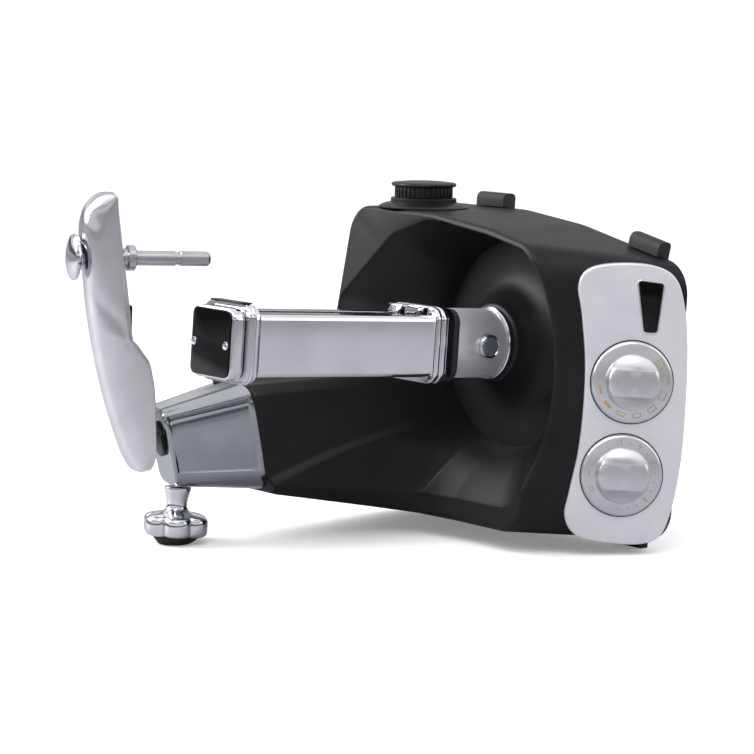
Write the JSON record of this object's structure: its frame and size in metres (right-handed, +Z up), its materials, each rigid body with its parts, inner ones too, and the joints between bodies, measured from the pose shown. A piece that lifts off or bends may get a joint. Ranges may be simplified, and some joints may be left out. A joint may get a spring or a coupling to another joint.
{
  "type": "pasta cutter machine",
  "caption": "Kitchen machine on its side, with a noodle cutter on its drive hub, a swinging roller arm, a screw foot and a two-dial control face.",
  "frame": {"origin": "middle of the plan, at the height of the table that the machine lies on", "axes": "+Z up; +X towards the base of the machine, along the table; -Y towards the side with the dials; the drive axis leans 4.7 degrees from X"},
  "size_m": [0.4072, 0.3434, 0.2975],
  "materials": {
    "black_paint": "fine-textured matt black paint",
    "black_plastic": "satin moulded plastic",
    "black_gloss": "gloss black",
    "silver_paint": "satin silver lacquer",
    "chrome": "polished chrome plate",
    "polished_aluminium": "polished cast aluminium",
    "cast_alloy": "satin turned alloy",
    "bright_steel": "bright turned steel",
    "dark_steel": "dark satin steel",
    "grey_steel": "plain sheet steel",
    "bronze": "sintered bronze",
    "copper": "lacquered copper winding",
    "rubber": "matt black rubber",
    "nylon": "natural nylon",
    "green_board": "coated circuit board"
  },
  "bodies": {
    "machine": {"housing_shell": "black_paint", "base_plate": "grey_steel", "foot_front_lower": "rubber", "foot_rear_lower": "rubber", "foot_front_upper": "rubber", "foot_rear_upper": "rubber", "control_panel": "silver_paint", "badge_plate": "black_gloss", "speed_control_unit": "nylon", "timer_unit": "nylon", "circuit_board": "green_board", "hub_bushing": "bronze", "lower_bearing": "bronze", "drive_belt": "rubber", "motor_stator": "copper", "motor_rear_bracket": "cast_alloy", "motor_front_bracket": "cast_alloy", "adapter_sleeve": "cast_alloy", "lock_bezel": "chrome", "right_bearing_plate": "chrome", "left_bearing_plate": "chrome", "gear_case": "chrome", "cutter_gasket": "rubber", "left_flange": "chrome", "left_end_cap": "chrome", "end_plate": "black_gloss", "end_screw_front": "bright_steel", "end_screw_rear": "bright_steel", "front_cover": "chrome", "rear_cover": "chrome", "front_comb": "bright_steel", "rear_comb": "bright_steel", "feed_guide": "chrome", "port_collar": "black_plastic", "port_cup": "nylon", "tower_casting": "polished_aluminium", "pivot_pin": "bright_steel", "pivot_bush": "black_plastic"},
    "drive": {"output_shaft": "bright_steel", "drive_coupling": "bright_steel", "cutter_drive_shaft": "bright_steel", "drive_pulley": "nylon"},
    "front_roll": {"front_cutting_roll": "bright_steel", "front_roll_gears": "bright_steel"},
    "rear_roll": {"rear_cutting_roll": "bright_steel", "rear_roll_gear": "bright_steel"},
    "motor": {"motor_rotor": "grey_steel", "motor_pulley": "bright_steel", "motor_fan": "nylon"},
    "speed_dial": {"speed_dial": "silver_paint"},
    "timer_dial": {"timer_dial": "silver_paint"},
    "lock_button": {"lock_button": "dark_steel"},
    "port_cap": {"port_cap": "black_plastic"},
    "arm": {"arm_casting": "polished_aluminium"},
    "arm_lever": {"arm_release_lever": "black_plastic"},
    "roller_shaft": {"roller_shaft": "bright_steel"},
    "arm_knob": {"arm_knob": "chrome"},
    "foot_pad": {"foot_pad": "rubber"},
    "screw_foot": {"star_knob": "chrome", "foot_screw": "bright_steel"}
  },
  "joints": [
    {"name": "drive_spin", "type": "hinge", "parent": "machine", "child": "drive", "pos_m": [0.10912, -0.01414, 0.165], "axis": [0.9966, 0, -0.0819], "continuous": true},
    {"name": "front_roll_spin", "type": "hinge", "parent": "machine", "child": "front_roll", "pos_m": [-0.06553, -0.02564, 0.17635], "axis": [0.9966, 0, -0.0819], "continuous": true},
    {"name": "rear_roll_spin", "type": "hinge", "parent": "machine", "child": "rear_roll", "pos_m": [-0.06553, -0.00264, 0.17635], "axis": [0.9966, 0, -0.0819], "continuous": true},
    {"name": "motor_spin", "type": "hinge", "parent": "machine", "child": "motor", "pos_m": [0.10134, 0.10586, 0.07032], "axis": [0.9966, 0, -0.0819], "continuous": true},
    {"name": "speed_dial_turn", "type": "hinge", "parent": "machine", "child": "speed_dial", "pos_m": [0.15082, -0.14365, 0.14291], "axis": [0.5428, 0.8387, -0.0446], "range_deg": [0, 270]},
    {"name": "timer_dial_turn", "type": "hinge", "parent": "machine", "child": "timer_dial", "pos_m": [0.14195, -0.14196, 0.06678], "axis": [0.5428, 0.8387, -0.0446], "range_deg": [0, 330]},
    {"name": "lock_button_press", "type": "slide", "parent": "machine", "child": "lock_button", "axis": [0, 1, 0], "range_m": [0, 0.004], "stiffness_N_per_m": 400},
    {"name": "port_cap_turn", "type": "hinge", "parent": "machine", "child": "port_cap", "pos_m": [0.12587, 0.09586, 0.27113], "axis": [0.0271, 0, 0.9996], "range_deg": [0, 60]},
    {"name": "arm_swing", "type": "hinge", "parent": "machine", "child": "arm", "pos_m": [-0.13084, 0.12586, 0.08991], "axis": [-0.9293, 0.3162, -0.1911], "range_deg": [-33, 60]},
    {"name": "arm_lever_tilt", "type": "hinge", "parent": "arm", "child": "arm_lever", "pos_m": [-0.15406, 0.13648, 0.18085], "axis": [0.3269, 0.9447, -0.0269], "range_deg": [0, 14]},
    {"name": "roller_shaft_spin", "type": "hinge", "parent": "arm", "child": "roller_shaft", "pos_m": [-0.13002, 0.12984, 0.23987], "axis": [0.9436, -0.3279, -0.045], "continuous": true},
    {"name": "arm_knob_turn", "type": "hinge", "parent": "arm", "child": "arm_knob", "pos_m": [-0.18664, 0.14951, 0.24257], "axis": [0.9436, -0.3279, -0.045], "range_deg": [-180, 180]},
    {"name": "foot_travel", "type": "slide", "parent": "machine", "child": "foot_pad", "axis": [-0.0819, 0, -0.9966], "range_m": [0, 0.006]},
    {"name": "star_knob_turn", "type": "hinge", "parent": "foot_pad", "child": "screw_foot", "pos_m": [-0.1161, 0.12586, 0.01294], "axis": [-0.0819, 0, -0.9966], "range_deg": [0, 1450]}
  ],
  "couplings": [
    {"joint": "front_roll_spin", "follows": "drive_spin", "ratio": -0.58823},
    {"joint": "rear_roll_spin", "follows": "drive_spin", "ratio": 0.58823},
    {"joint": "motor_spin", "follows": "drive_spin", "ratio": 6},
    {"joint": "star_knob_turn", "follows": "foot_travel", "rad_per_m": 4188.8}
  ]
}
